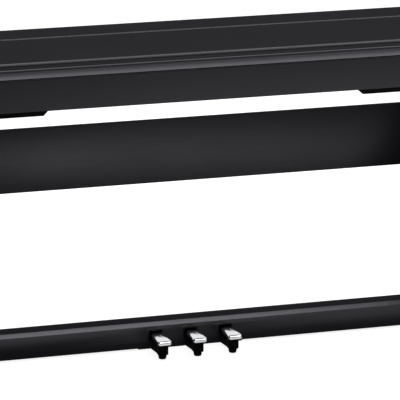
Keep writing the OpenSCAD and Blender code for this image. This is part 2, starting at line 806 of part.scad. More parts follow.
keybed();
end_board_left();
end_board_right();
back_panel();
top_board();
key_slip();
control_panel();
music_stop();
key_felt();
cheek_blocks();
lid_hinge_fixed_leaf();
lid_hinge_pin();
key_chassis();
key_pivot_rod();
speaker_box_left();
speaker_box_right();
speaker_drivers();
main_board();
headphone_box();
jack_plate();
side_board_left();
side_board_right();
stand_feet();
rubber_feet();
backboard();
pedal_rail();
pedal_box();
pedal_pivot_pin();
pedal_springs();
pedal_supports();
stand_fixings();
lid_panel();
lid_lip();
lid_hinge_moving_leaf();
lid_buffers();
power_button();
volume_knob();
push_button(button_xs[0]);  // tone_button
push_button(button_xs[1]);  // metronome_button
push_button(button_xs[2]);  // function_button
pedal(pedal_xs[0]);  // pedal_left
pedal(pedal_xs[1]);  // pedal_middle
pedal(pedal_xs[2]);  // pedal_right
pedal_lever(pedal_xs[0]);  // pedal_lever_left
pedal_lever(pedal_xs[1]);  // pedal_lever_middle
pedal_lever(pedal_xs[2]);  // pedal_lever_right
white_keys();
black_keys();
middle_white(0);  // key_c4
middle_white(1);  // key_d4
middle_white(2);  // key_e4
middle_white(3);  // key_f4
middle_white(4);  // key_g4
middle_white(5);  // key_a4
middle_white(6);  // key_b4
middle_black(0);  // key_c_sharp4
middle_black(1);  // key_d_sharp4
middle_black(2);  // key_f_sharp4
middle_black(3);  // key_g_sharp4
middle_black(4);  // key_a_sharp4
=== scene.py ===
"""The looks of a slim black digital piano on its stand, on the frame that the CAD model gives."""

import json
import math

import bmesh
import bpy
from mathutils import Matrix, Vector


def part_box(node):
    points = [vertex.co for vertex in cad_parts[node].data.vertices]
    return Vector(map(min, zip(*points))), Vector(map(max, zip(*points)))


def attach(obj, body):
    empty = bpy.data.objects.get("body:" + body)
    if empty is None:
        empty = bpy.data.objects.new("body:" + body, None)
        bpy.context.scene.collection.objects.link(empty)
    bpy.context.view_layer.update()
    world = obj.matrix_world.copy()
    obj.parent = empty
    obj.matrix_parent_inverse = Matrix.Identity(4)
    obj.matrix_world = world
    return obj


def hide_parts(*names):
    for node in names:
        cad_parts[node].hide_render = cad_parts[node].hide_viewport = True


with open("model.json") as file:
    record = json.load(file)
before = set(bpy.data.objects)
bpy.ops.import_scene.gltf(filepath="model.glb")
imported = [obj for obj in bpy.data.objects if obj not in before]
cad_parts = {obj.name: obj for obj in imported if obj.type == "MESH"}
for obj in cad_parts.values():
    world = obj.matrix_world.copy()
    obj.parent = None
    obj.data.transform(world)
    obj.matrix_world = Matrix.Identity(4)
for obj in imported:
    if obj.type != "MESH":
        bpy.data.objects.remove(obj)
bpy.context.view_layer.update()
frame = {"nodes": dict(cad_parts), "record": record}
mm = 0.001


# Materials. Every one is a tree of procedural nodes on a Principled BSDF.

class Look:
    """A material under construction: nodes are added with add() and joined with link()."""

    def __init__(self, name, **values):
        self.material = bpy.data.materials.new(name)
        self.material.use_nodes = True
        self.tree = self.material.node_tree
        self.shader = self.tree.nodes["Principled BSDF"]
        for key, value in values.items():
            self.shader.inputs[key.replace("_", " ")].default_value = value
        self.place = self.add("ShaderNodeTexCoord").outputs["Object"]

    def add(self, kind, **values):
        node = self.tree.nodes.new(kind)
        for key, value in values.items():
            if hasattr(node, key):
                setattr(node, key, value)
            else:
                node.inputs[key.replace("_", " ")].default_value = value
        return node

    def link(self, source, target):
        self.tree.links.new(source, target)

    def scaled(self, x, y, z):
        node = self.add("ShaderNodeMapping")
        node.inputs["Scale"].default_value = (x, y, z)
        self.link(self.place, node.inputs["Vector"])
        return node.outputs["Vector"]

    def noise(self, scale, detail=3.0, roughness=0.5, place=None):
        node = self.add("ShaderNodeTexNoise", Scale=scale, Detail=detail, Roughness=roughness)
        self.link(place or self.place, node.inputs["Vector"])
        return node.outputs["Fac"]

    def ramp(self, source, stops):
        node = self.add("ShaderNodeValToRGB")
        elements = node.color_ramp.elements
        while len(elements) < len(stops):
            elements.new(0.5)
        for element, (place, colour) in zip(elements, stops):
            element.position = place
            element.color = (*colour, 1.0)
        self.link(source, node.inputs["Fac"])
        return node.outputs["Color"]

    def spread(self, source, low, high, start=0.3, end=0.7):
        node = self.add("ShaderNodeMapRange")
        for key, value in (("From Min", start), ("From Max", end), ("To Min", low), ("To Max", high)):
            node.inputs[key].default_value = value
        self.link(source, node.inputs["Value"])
        return node.outputs["Result"]

    def colour(self, source):
        self.link(source, self.shader.inputs["Base Color"])

    def rough(self, source):
        self.link(source, self.shader.inputs["Roughness"])

    def bump(self, *layers):
        """Each layer is (height, strength, distance in metres)."""
        below = None
        for height, strength, distance in layers:
            node = self.add("ShaderNodeBump", Strength=strength, Distance=distance)
            self.link(height, node.inputs["Height"])
            if below:
                self.link(below, node.inputs["Normal"])
            below = node.outputs["Normal"]
        self.link(below, self.shader.inputs["Normal"])


def edge_wear(look, colour, worn, amount):
    """Slightly lighter colour where Geometry's pointiness shows an edge."""
    point = look.add("ShaderNodeNewGeometry").outputs["Pointiness"]
    mask = look.spread(point, 0.0, amount, 0.52, 0.62)
    mix = look.add("ShaderNodeMix", data_type="RGBA")
    look.link(mask, mix.inputs["Factor"])
    look.link(colour, mix.inputs["A"])
    mix.inputs["B"].default_value = (*worn, 1.0)
    return mix.outputs["Result"]


BOARD_SHEEN = (0.93, 0.91, 1.0)      # the faint blue of the boards' reflections


def board_look(name, low, high, roughness, grain):
    """Printed foil on board: a faint wood grain along X in the colour, the gloss and the surface."""
    look = Look(name, IOR=1.5)
    along = look.scaled(2.2, 34.0, 34.0)
    fine_along = look.scaled(9.0, 260.0, 260.0)
    streaks = look.noise(3.0, 5.0, 0.55, along)
    pores = look.noise(3.2, 4.0, 0.6, fine_along)
    cloud = look.noise(2.5, 2.0)
    base = look.ramp(streaks, [(0.3, low), (0.7, high)])
    look.colour(edge_wear(look, base, tuple(min(1.0, c * 1.7) for c in high), 0.35))
    mixed = look.add("ShaderNodeMath", operation="ADD")
    look.link(look.spread(pores, -0.035, 0.035), mixed.inputs[0])
    look.link(look.spread(cloud, roughness - 0.03, roughness + 0.03), mixed.inputs[1])
    look.rough(mixed.outputs[0])
    speckle = look.noise(1500.0, 2.0, 0.6)
    look.bump((pores, grain, 0.00025), (speckle, 0.12, 0.00008))
    look.shader.inputs["Specular Tint"].default_value = (*BOARD_SHEEN, 1.0)
    return look.material


def plastic_look(name, low, high, roughness, scale=1600.0, bump=0.25, shine=0.5):
    """Moulded plastic with a fine spark-eroded texture."""
    look = Look(name, IOR=1.48)
    look.shader.inputs["Specular IOR Level"].default_value = shine
    cloud = look.noise(9.0, 3.0)
    grains = look.noise(scale, 2.0, 0.5)
    base = look.ramp(cloud, [(0.3, low), (0.7, high)])
    look.colour(edge_wear(look, base, tuple(min(1.0, c * 2.0) for c in high), 0.3))
    look.rough(look.spread(cloud, roughness - 0.04, roughness + 0.05))
    look.bump((grains, bump, 0.00012))
    return look.material


def chrome_look(name):
    look = Look(name, Metallic=1.0, IOR=2.5)
    cloud = look.noise(38.0, 4.0)
    smears = look.noise(5.0, 5.0, 0.6, look.scaled(30.0, 5.0, 30.0))
    look.colour(look.ramp(cloud, [(0.3, (0.72, 0.73, 0.75)), (0.7, (0.8, 0.8, 0.82))]))
    look.rough(look.spread(smears, 0.09, 0.2))
    look.bump((look.noise(160.0, 2.0), 0.02, 0.0001))
    return look.material


def steel_look(name, low, high, roughness, metallic=1.0):
    look = Look(name, Metallic=metallic)
    brushed = look.noise(4.0, 5.0, 0.65, look.scaled(6.0, 320.0, 320.0))
    cloud = look.noise(14.0, 3.0)
    look.colour(look.ramp(cloud, [(0.3, low), (0.7, high)]))
    look.rough(look.spread(brushed, roughness - 0.07, roughness + 0.09))
    look.bump((brushed, 0.15, 0.0001))
    return look.material


def key_look(name, low, high, roughness, coat):
    """Moulded key tops: nearly even, with a faint cloud and finger wear in the gloss."""
    look = Look(name, IOR=1.5, Coat_Weight=coat, Coat_Roughness=0.12)
    cloud = look.noise(16.0, 3.0)
    wear = look.noise(55.0, 4.0, 0.6)
    look.colour(look.ramp(cloud, [(0.3, low), (0.7, high)]))
    look.rough(look.spread(wear, roughness - 0.06, roughness + 0.08))
    look.bump((look.noise(900.0, 2.0), 0.06, 0.0001))
    return look.material


def felt_look(name, low, high):
    look = Look(name, Roughness=0.95, Sheen_Weight=0.5, Sheen_Roughness=0.4)
    look.shader.inputs["Sheen Tint"].default_value = (1.0, 0.4, 0.45, 1.0)
    fibres = look.noise(900.0, 4.0, 0.7)
    look.colour(look.ramp(fibres, [(0.3, low), (0.7, high)]))
    look.bump((fibres, 0.7, 0.0006))
    return look.material


def rubber_look(name):
    look = Look(name, IOR=1.5)
    dust = look.noise(60.0, 4.0, 0.6)
    look.colour(look.ramp(dust, [(0.35, (0.008, 0.008, 0.008)), (0.75, (0.02, 0.02, 0.021))]))
    look.rough(look.spread(dust, 0.62, 0.85))
    look.bump((look.noise(1200.0, 2.0), 0.3, 0.0002))
    return look.material


def circuit_look(name):
    """Solder mask over a grid of tracks."""
    look = Look(name, IOR=1.5, Roughness=0.35)
    bricks = look.add("ShaderNodeTexBrick", Scale=180.0)
    bricks.inputs["Mortar Size"].default_value = 0.035
    bricks.inputs["Color1"].default_value = (0.012, 0.1, 0.035, 1.0)
    bricks.inputs["Color2"].default_value = (0.016, 0.12, 0.045, 1.0)
    bricks.inputs["Mortar"].default_value = (0.035, 0.2, 0.08, 1.0)
    look.link(look.place, bricks.inputs["Vector"])
    look.colour(bricks.outputs["Color"])
    look.rough(look.spread(look.noise(40.0), 0.28, 0.42))
    look.bump((bricks.outputs["Fac"], 0.3, 0.0001))
    return look.material


def lamp_look(name, colour, strength):
    look = Look(name, Roughness=0.3, Emission_Strength=strength)
    look.colour(look.ramp(look.noise(300.0), [(0.3, colour), (0.7, tuple(c * 0.8 for c in colour))]))
    look.shader.inputs["Emission Color"].default_value = (*colour, 1.0)
    return look.material


BOARD = board_look("satin_black_board", (0.0075, 0.0074, 0.0092), (0.011, 0.0108, 0.0132), 0.36, 0.22)
INNER = board_look("matt_black_board", (0.011, 0.011, 0.0115), (0.017, 0.0165, 0.0165), 0.6, 0.4)
PLASTIC = plastic_look("black_moulded_plastic", (0.009, 0.009, 0.0105), (0.0135, 0.0135, 0.015), 0.45)
BUTTON = plastic_look("grey_button_plastic", (0.04, 0.04, 0.043), (0.055, 0.055, 0.06), 0.42, 1800.0, 0.2)
CHROME = chrome_look("bright_chrome")
HINGE = steel_look("blackened_steel", (0.035, 0.035, 0.038), (0.06, 0.06, 0.064), 0.42)
STEEL = steel_look("plated_steel", (0.42, 0.42, 0.43), (0.56, 0.56, 0.58), 0.33)
DRIVER = steel_look("black_painted_steel", (0.02, 0.02, 0.021), (0.03, 0.03, 0.032), 0.45, 0.0)
WHITE = key_look("white_key_plastic", (0.78, 0.765, 0.71), (0.83, 0.815, 0.765), 0.3, 0.35)
BLACK = key_look("black_key_plastic", (0.009, 0.009, 0.01), (0.014, 0.014, 0.015), 0.42, 0.1)
FELT = felt_look("red_felt", (0.16, 0.005, 0.012), (0.3, 0.012, 0.025))
RUBBER = rubber_look("black_rubber")
CIRCUIT = circuit_look("green_circuit_board")
MATT = plastic_look("matt_black_plastic", (0.004, 0.004, 0.0045), (0.007, 0.007, 0.0075), 0.62)
# darker and less glossy than the other black plastic: painted shade for the shadow the speaker boxes sit in
# under the keybed
SHADE_DARK_PLASTIC = plastic_look("black_plastic_painted_shade", (0.002, 0.002, 0.0023), (0.003, 0.003, 0.0034), 0.6, shine=0.12)
MARK = plastic_look("pale_mark", (0.55, 0.55, 0.54), (0.65, 0.65, 0.64), 0.5)
LED = lamp_look("green_led", (0.1, 0.9, 0.2), 0.6)

CAD_LOOKS = {
    "black_board": BOARD, "inner_board": INNER, "black_plastic": PLASTIC, "button_grey": BUTTON,
    "red_felt": FELT, "hinge_steel": HINGE, "frame_steel": STEEL, "driver_black": DRIVER,
    "circuit_board": CIRCUIT, "black_rubber": RUBBER, "pedal_chrome": CHROME, "key_white": WHITE,
    "key_black": BLACK,
}
SLOT_OF = {part["node"]: part["material_slot"] for part in frame["record"]["subparts"]}
BODY_OF = {node: body for body, nodes in frame["record"]["behaviour"]["bodies"].items() for node in nodes}

for node, thing in frame["nodes"].items():
    thing.data.materials.clear()
    thing.data.materials.append(CAD_LOOKS[SLOT_OF[node]])


# Building pieces

def object_from(name, bm, look, smooth=True):
    mesh = bpy.data.meshes.new(name)
    bmesh.ops.recalc_face_normals(bm, faces=bm.faces[:])
    bm.to_mesh(mesh)
    bm.free()
    mesh.materials.append(look)
    for face in mesh.polygons:
        face.use_smooth = smooth
    thing = bpy.data.objects.new(name, mesh)
    bpy.context.scene.collection.objects.link(thing)
    return thing


def rounded(thing, width, segments=3, angle=30.0):
    """Rounds the edges with a bevel, and keeps the flat faces flat in the shading."""
    bevel = thing.modifiers.new("edges", "BEVEL")
    bevel.width = width
    bevel.segments = segments
    bevel.limit_method = "ANGLE"
    bevel.angle_limit = math.radians(angle)
    bevel.harden_normals = True
    return thing


def stand_for(thing, body, *nodes):
    """Rides on the body and replaces the nodes."""
    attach(thing, body)
    if nodes:
        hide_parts(*nodes)
    return thing


def soft_edged(node, width, look=None, segments=3, angle=30.0):
    """A copy of a CAD node with its triangles merged into flat faces and its edges rounded."""
    bm = bmesh.new()
    bm.from_mesh(frame["nodes"][node].data)
    bmesh.ops.remove_doubles(bm, verts=bm.verts[:], dist=1e-6)
    bmesh.ops.dissolve_limit(bm, angle_limit=math.radians(1.0), verts=bm.verts[:], edges=bm.edges[:])
    thing = object_from(node + "_soft", bm, look or CAD_LOOKS[SLOT_OF[node]])
    rounded(thing, width, segments, angle)
    return stand_for(thing, BODY_OF[node], node)


def bar(name, points, x0, x1, look):
    """A length along X whose section is a list of (y, z) points."""
    bm = bmesh.new()
    ends = [[bm.verts.new((x, y, z)) for y, z in points] for x in (x0, x1)]
    bm.faces.new(ends[0])
    bm.faces.new(ends[1])
    for n in range(len(points)):
        m = (n + 1) % len(points)
        bm.faces.new((ends[0][n], ends[0][m], ends[1][m], ends[1][n]))
    return object_from(name, bm, look)


def joined(name, parts, look):
    """One mesh from several lists of faces, where each face is a list of points."""
    bm = bmesh.new()
    for faces in parts:
        for face in faces:
            bm.faces.new([bm.verts.new(point) for point in face])
    bmesh.ops.remove_doubles(bm, verts=bm.verts[:], dist=1e-7)
    return object_from(name, bm, look)


def skin(rings, closed=True, capped=True):
    """Faces between neighbouring rings of points. Closed rings join their last point to their first."""
    faces = []
    count = len(rings[0])
    for low, high in zip(rings, rings[1:]):
        for n in range(count if closed else count - 1):
            m = (n + 1) % count
            faces.append([low[n], low[m], high[m], high[n]])
    if capped:
        faces += [list(rings[0]), list(rings[-1])]
    return faces


def turned(centre, profile, axis="z", steps=48, wave=None, hollow=False):
    """Faces of a shape turned about an axis from a profile of (radius, height) points."""
    rings = []
    for radius, height in profile:
        ring = []
        for n in range(steps):
            a = math.tau * n / steps
            r = radius + (wave(a) if wave and radius > 0 else 0.0)
            u, v, w = r * math.cos(a), r * math.sin(a), height
            along = {"x": (w, u, v), "y": (u, w, v), "z": (u, v, w)}[axis]
            ring.append(tuple(Vector(centre) + Vector(along)))
        rings.append(ring)
    if hollow:
        rings.append(rings[0])
    return skin(rings, capped=not hollow)


def tube(path, radius, sides=10):
    """Faces of a round wire along a path of points."""
    rings = []
    across = Vector((0.0, 0.0, 1.0))
    for n, point in enumerate(path):
        ahead = (path[min(n + 1, len(path) - 1)] - path[max(n - 1, 0)]).normalized()
        side = ahead.cross(across).normalized()
        up = side.cross(ahead)
        rings.append([tuple(point + radius * (math.cos(math.tau * k / sides) * side
                                              + math.sin(math.tau * k / sides) * up))
                      for k in range(sides)])
    return skin(rings)


def middle(node):
    lo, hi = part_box(node)
    return (lo + hi) / 2


# Camera

YAW, TILT = math.radians(14.93), math.radians(16.8)
EYE = Vector((-1.6173, -6.1696, 2.2946))
ahead = Vector((math.sin(YAW) * math.cos(TILT), math.cos(YAW) * math.cos(TILT), -math.sin(TILT)))

camera = bpy.data.objects.new("camera", bpy.data.cameras.new("camera"))
camera.data.sensor_width = 36.0
camera.data.lens = 248.4
camera.data.clip_end = 100.0
camera.location = EYE
camera.rotation_mode = "QUATERNION"
camera.rotation_quaternion = ahead.to_track_quat("-Z", "Y")
bpy.context.scene.collection.objects.link(camera)
bpy.context.scene.camera = camera


# Cabinet

for node in ("end_board_left", "end_board_right"):
    soft_edged(node, 1.3 * mm)
for node in ("side_board_left", "side_board_right", "stand_feet", "backboard", "pedal_rail"):
    soft_edged(node, 1.0 * mm)
for node in ("keybed", "back_panel"):
    soft_edged(node, 0.6 * mm)


def arc(start, end, radius, steps):
    """Points from start to end on a circle whose centre is at the left of the way from start to end."""
    start, end = Vector(start), Vector(end)
    half = (end - start) / 2
    side = Vector((-half.y, half.x)).normalized()
    centre = start + half + side * math.sqrt(radius ** 2 - half.length ** 2)
    a0 = math.atan2(start.y - centre.y, start.x - centre.x)
    a1 = math.atan2(end.y - centre.y, end.x - centre.x)
    turn = (a1 - a0 + math.pi) % math.tau - math.pi
    return [(centre.x + radius * math.cos(a0 + turn * n / steps),
             centre.y + radius * math.sin(a0 + turn * n / steps)) for n in range(steps + 1)]


def round_corner(centre_y, centre_z, radius, start, end, steps=10):
    """Points on a corner's arc, from the angle start to the angle end in degrees."""
    angles = [math.radians(start + (end - start) * n / steps) for n in range(steps + 1)]
    return [(centre_y + radius * math.cos(a), centre_z + radius * math.sin(a)) for a in angles]


def top_plank(node, body, front_radius, back_radius):
    """A board whose two upper long edges are well rounded."""
    lo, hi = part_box(node)
    points = [(lo.y, lo.z)]
    points += round_corner(lo.y + front_radius, hi.z - front_radius, front_radius, 180, 90)
    points += round_corner(hi.y - back_radius, hi.z - back_radius, back_radius, 90, 0)
    points += [(hi.y, lo.z)]
    plank = bar(node + "_plank", points, lo.x, hi.x, BOARD)
    rounded(plank, 0.8 * mm, 2, 35.0)
    stand_for(plank, body, node)


top_plank("lid_panel", "lid", 8.0 * mm, 1.5 * mm)
top_plank("top_board", "cabinet", 5.0 * mm, 2.0 * mm)
top_plank("key_slip", "cabinet", 3.0 * mm, 1.0 * mm)


def lid_lip():
    """The coved lip: a bead under the lid's front edge, then a cove that sweeps out to the front."""
    lo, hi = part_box("lid_lip")
    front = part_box("lid_panel")[0].y
    bead, lift, cove_radius = 5.0 * mm, 0.8 * mm, 40 * mm
    bead_points = round_corner(front, hi.z - bead + lift, bead, 90, 190, 12)
    foot, top = (lo.y, lo.z + 0.5 * mm), (front - bead + 0.4 * mm, hi.z - 5.7 * mm)
    cove = arc(foot, top, cove_radius, 28)
    back, back_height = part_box("key_slip")[1].y - 2.5 * mm, 7 * mm
    points = [(hi.y, hi.z), (front, hi.z)] + bead_points + cove[::-1]
    points += [(lo.y + 0.4 * mm, lo.z), (back, lo.z), (back, lo.z + back_height)]
    lip = bar("lid_lip_cove", points, lo.x, hi.x, BOARD)
    rounded(lip, 0.3 * mm, 2, 50.0)
    stand_for(lip, "lid", "lid_lip")


lid_lip()


# Keys

for node in frame["nodes"]:
    if SLOT_OF[node] == "key_white":
        soft_edged(node, 0.7 * mm, angle=40.0)
    if SLOT_OF[node] == "key_black":
        soft_edged(node, 0.9 * mm, angle=12.0)


# The case's fittings

# the speaker boxes take the darkened plastic, which paints in the shade under the keybed
for node in ("speaker_box_left", "speaker_box_right"):
    soft_edged(node, 2.5 * mm, SHADE_DARK_PLASTIC, 4)
for node in ("headphone_box", "jack_plate", "pedal_box", "cheek_blocks", "control_panel"):
    soft_edged(node, 1.0 * mm)
for node in ("tone_button", "metronome_button", "function_button", "music_stop"):
    soft_edged(node, 0.8 * mm)
for node in ("key_chassis", "key_felt", "stand_fixings", "lid_buffers", "speaker_drivers"):
    soft_edged(node, 0.4 * mm)
for node in ("lid_hinge_fixed_leaf", "lid_hinge_moving_leaf", "lid_hinge_pin", "key_pivot_rod",
             "pedal_pivot_pin"):
    soft_edged(node, 0.2 * mm, segments=2)


def socket_rings():
    """A plated nut around each headphone socket."""
    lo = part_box("headphone_box")[0]
    bore, nut, depth = 3.25 * mm, 5.2 * mm, 0.8 * mm
    profile = [(bore, 0.0), (nut, 0.0), (nut, -depth * 0.6), (nut - 0.4 * mm, -depth),
               (bore + 0.3 * mm, -depth), (bore, -depth * 0.6)]
    from_left = (14 * mm, 42 * mm)
    parts = [turned((lo.x + x, lo.y, middle("headphone_box").z), profile, "y", hollow=True)
             for x in from_left]
    rings = joined("headphone_socket_nuts", parts, STEEL)
    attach(rings, "cabinet")


def main_board_parts():
    """The circuit board's parts get looks of their own: chips, capacitors and spacers."""
    board = soft_edged("main_board", 0.3 * mm, segments=2)
    board.data.materials.append(PLASTIC)
    board.data.materials.append(STEEL)
    chip_slot, spacer_slot = 1, 2
    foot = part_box("main_board")[0].z
    board_low, board_high = foot + 11.9 * mm, foot + 13.7 * mm
    for face in board.data.polygons:
        if face.center.z > board_high:
            face.material_index = chip_slot
        if face.center.z < board_low:
            face.material_index = spacer_slot


socket_rings()
main_board_parts()


# Controls

def volume_knob():
    """A fluted knob with a domed edge, and a light line that shows its setting."""
    lo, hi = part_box("volume_knob")
    centre = middle("volume_knob")
    radius, height = (hi.x - lo.x) / 2, 5 * mm
    base = hi.z - height
    flutes, flute = 24, 0.35 * mm
    profile = [(3 * mm, lo.z - base), (3 * mm, 0.0), (radius - 0.4 * mm, 0.0), (radius, 0.5 * mm),
               (radius, height - 1.4 * mm), (radius - 0.4 * mm, height - 0.5 * mm),
               (radius - 1.3 * mm, height), (radius - 2.0 * mm, height - 0.3 * mm)]
    grip = turned((centre.x, centre.y, base), profile, steps=6 * flutes,
                  wave=lambda a: -flute * (0.5 - 0.5 * math.cos(flutes * a)))
    knob = joined("volume_knob_grip", [grip], BUTTON)
    rounded(knob, 0.15 * mm, 2, 40.0)
    stand_for(knob, "volume_knob", "volume_knob")
    half, near, far = 0.5 * mm, 2.0 * mm, radius - 2.2 * mm
    top = hi.z - 0.05 * mm
    low = top - 0.4 * mm
    corners = [(-half, -far), (half, -far), (half, -near), (-half, -near)]
    line = skin([[(centre.x + x, centre.y + y, z) for x, y in corners] for z in (low, top)])
    mark = joined("volume_knob_line", [line], MARK)
    rounded(mark, 0.1 * mm, 2)
    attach(mark, "volume_knob")


def power_button():
    """A round button with a dished top, and a small lamp behind it on the block."""
    lo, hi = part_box("power_button")
    centre = middle("power_button")
    radius = (hi.x - lo.x) / 2
    profile = [(radius, lo.z), (radius, hi.z - 0.7 * mm), (radius - 0.2 * mm, hi.z - 0.2 * mm),
               (radius - 0.8 * mm, hi.z), (radius - 2.0 * mm, hi.z - 0.3 * mm), (1.0 * mm, hi.z - 0.7 * mm)]
    cap = joined("power_button_cap", [turned((centre.x, centre.y, 0.0), profile)], BUTTON)
    stand_for(cap, "power_button", "power_button")
    panel_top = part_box("control_panel")[1].z
    lens = [(1.3 * mm, -0.4 * mm), (1.3 * mm, 0.1 * mm), (1.0 * mm, 0.5 * mm), (0.4 * mm, 0.7 * mm)]
    behind = 14 * mm
    place = (centre.x, centre.y + behind, panel_top)
    lamp = joined("power_lamp", [turned(place, lens, steps=24)], LED)
    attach(lamp, "cabinet")


volume_knob()
power_button()


# Pedals

PEDAL_TILT = math.radians(5.5)       # a pedal rises towards its tip
PEDAL_LEN = 197 * mm                 # from the pivot to the tip
PEDAL_IN = 92 * mm                   # from the pivot to where the plated cover starts
PEDAL_TOP = 8.9 * mm                 # top of the cover above the line through the pivot
PEDAL_SKIRT = 11.5 * mm              # height of the cover
PEDAL_SKIN = 2.2 * mm                # thickness of the cover
PEDAL_BOW = 1.7 * mm                 # how far the cover's ends bend down from its middle
PEDAL_HALF_ROOT, PEDAL_HALF_TIP = 12.5 * mm, 18.5 * mm
PIVOT_Y, PIVOT_Z = middle("pedal_pivot_pin").y, middle("pedal_pivot_pin").z


def pedal_chain(inset, height, corner=7 * mm, lengths=12, steps=6):
    """A pedal's outline from above, from its root on one side round the tip to the other side."""
    slope = (PEDAL_HALF_TIP - PEDAL_HALF_ROOT) / (PEDAL_LEN - PEDAL_IN)
    flare = math.atan(slope)
    lean = inset / math.cos(flare)
    radius = max(corner - inset, 0.6 * mm)
    centre_s = PEDAL_LEN - inset - radius
    root = PEDAL_HALF_ROOT - lean
    widest = root + slope * (centre_s - PEDAL_IN)
    centre_x = widest - radius / math.cos(flare)
    side = [(root + (widest - root) * n / lengths,
             PEDAL_IN + (centre_s - PEDAL_IN) * n / lengths) for n in range(lengths)]
    turn = math.pi / 2 + flare
    for n in range(steps + 1):
        a = -flare + turn * n / steps
        side.append((centre_x + radius * math.cos(a), centre_s + radius * math.sin(a)))
    chain = side + [(-x, s) for x, s in reversed(side)]
    half = (PEDAL_LEN - PEDAL_IN) / 2
    share = (height - PEDAL_TOP + PEDAL_SKIRT) / PEDAL_SKIRT
    return [(x, s, height - share * PEDAL_BOW * ((s - PEDAL_IN) / half - 1) ** 2) for x, s in chain]


def pedal_point(x, point):
    """From a pedal's own frame to the world: point is (across, distance from the pivot, height)."""
    across, s, h = point
    y = PIVOT_Y - s * math.cos(PEDAL_TILT) + h * math.sin(PEDAL_TILT)
    z = PIVOT_Z + s * math.sin(PEDAL_TILT) + h * math.cos(PEDAL_TILT)
    return (x + across, y, z)


def pedal_cover(node):
    """A plated shell, open below and behind: rounded lip, softly crowned top, even thickness."""
    x = middle(node).x
    low, fillet, crown = PEDAL_TOP - PEDAL_SKIRT, 4.6 * mm, 0.7 * mm
    foot = 0.5 * mm
    outer = [pedal_chain(foot, low), pedal_chain(0.3 * foot, low + 0.3 * foot), pedal_chain(0.0, low + foot)]
    edge_z = PEDAL_TOP - crown
    across, fillet_steps, crown_steps = 0.8 * fillet, 8, 5
    for n in range(fillet_steps + 1):
        a = math.pi / 2 * n / fillet_steps
        outer.append(pedal_chain(across * (1 - math.cos(a)), edge_z - fillet + fillet * math.sin(a)))
    for n in range(1, crown_steps + 1):
        share = n / crown_steps
        inset = across + (PEDAL_HALF_ROOT - 1.2 * mm - across) * share
        outer.append(pedal_chain(inset, edge_z + crown * (1 - (1 - share) ** 2)))
    wall_steps, gather = 6, 6 * mm
    roof = edge_z - PEDAL_SKIN
    inner = []
    for n in range(len(outer)):
        inward = max(0, n + 1 - wall_steps) / (len(outer) - 1) * gather
        inner.append(pedal_chain(PEDAL_SKIN + inward, low + (roof - low) * min(1.0, n / wall_steps)))
    count = len(outer[0]) - 1
    faces = skin(outer, closed=False, capped=False) + skin(inner, closed=False, capped=False)
    faces += skin([outer[0], inner[0]], closed=False, capped=False)
    for end in (0, count):
        faces += skin([[chain[end] for chain in outer], [chain[end] for chain in inner]],
                      closed=False, capped=False)
    faces.append([outer[-1][0], outer[-1][count], inner[-1][count], inner[-1][0]])
    faces += [list(outer[-1]), list(inner[-1])]
    faces = [[pedal_point(x, point) for point in face] for face in faces]
    cover = joined(node + "_cover", [faces], CHROME)
    stand_for(cover, BODY_OF[node], node)


PEDALS = ("left", "middle", "right")
for side in PEDALS:
    pedal_cover("pedal_" + side)
    soft_edged("pedal_lever_" + side, 0.8 * mm)


PAD_TOP = 10.5 * mm                  # top of the pad under a pedal's support


def support(side):
    """The arm and the post below one pedal, as one moulding whose foot narrows to its rubber pad."""
    lo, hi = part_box("pedal_supports")
    x = middle("pedal_" + side).x
    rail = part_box("pedal_rail")[0]
    half = 12 * mm
    front, back = lo.y, lo.y + 24 * mm
    low, top = PAD_TOP, hi.z
    points = [(hi.y, lo.z), (hi.y, rail.z - 0.3 * mm), (rail.y - 0.4 * mm, rail.z - 0.3 * mm),
              (rail.y - 0.4 * mm, 20 * mm), (back + 4 * mm, 22 * mm), (back + 1 * mm, 26 * mm),
              (back, top - 1 * mm), (back - 1 * mm, top), (front + 3 * mm, top),
              (front + 1 * mm, top - 1 * mm), (front, top - 3 * mm), (front, low + 5 * mm),
              (front + 3 * mm, low), (back + 1 * mm, low)]
    arm = bar("pedal_support_" + side, points, x - half, x + half, MATT)
    rounded(arm, 2.0 * mm, 4, 20.0)
    stand_for(arm, "cabinet", "pedal_supports")


def rubber_pads():
    """The four feet's round pads, and a tapered pad under each pedal support."""
    lo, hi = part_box("rubber_feet")
    feet_lo, feet_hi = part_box("stand_feet")
    support_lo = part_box("pedal_supports")[0]
    radius, inset = 14 * mm, 20 * mm
    disc = [(radius - 1.6 * mm, 0.0), (radius - 0.8 * mm, 0.3 * mm), (radius, 1.5 * mm), (radius, feet_lo.z)]
    post = [(8.0 * mm, 0.0), (8.7 * mm, 0.3 * mm), (9.3 * mm, 1.5 * mm), (10.6 * mm, PAD_TOP)]
    parts = [turned((x, y, 0.0), disc) for x in (feet_lo.x + inset, feet_hi.x - inset)
             for y in (lo.y + radius, hi.y - radius)]
    parts += [turned((middle("pedal_" + side).x, support_lo.y + 12 * mm, 0.0), post) for side in PEDALS]
    pads = joined("rubber_pads", parts, RUBBER)
    stand_for(pads, "cabinet", "rubber_feet")


def pedal_coils():
    """The return springs: five turns of wire, the end turns closed up."""
    lo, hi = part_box("pedal_springs")
    wire, turns, steps = 0.8 * mm, 5, 30
    radius = (hi.y - lo.y) / 2 - wire
    bottom, rise = lo.z + wire, hi.z - lo.z - 2 * wire
    parts = []
    for side in PEDALS:
        centre = Vector((middle("pedal_" + side).x, (lo.y + hi.y) / 2, bottom))
        path = []
        for n in range(turns * steps + 1):
            share = n / (turns * steps)
            a = math.tau * turns * share
            path.append(centre + Vector((radius * math.cos(a), radius * math.sin(a),
                                         rise * (share - math.sin(math.tau * share) / math.tau))))
        parts.append(tube(path, wire, 8))
    coils = joined("pedal_coils", parts, STEEL)
    stand_for(coils, "cabinet", "pedal_springs")


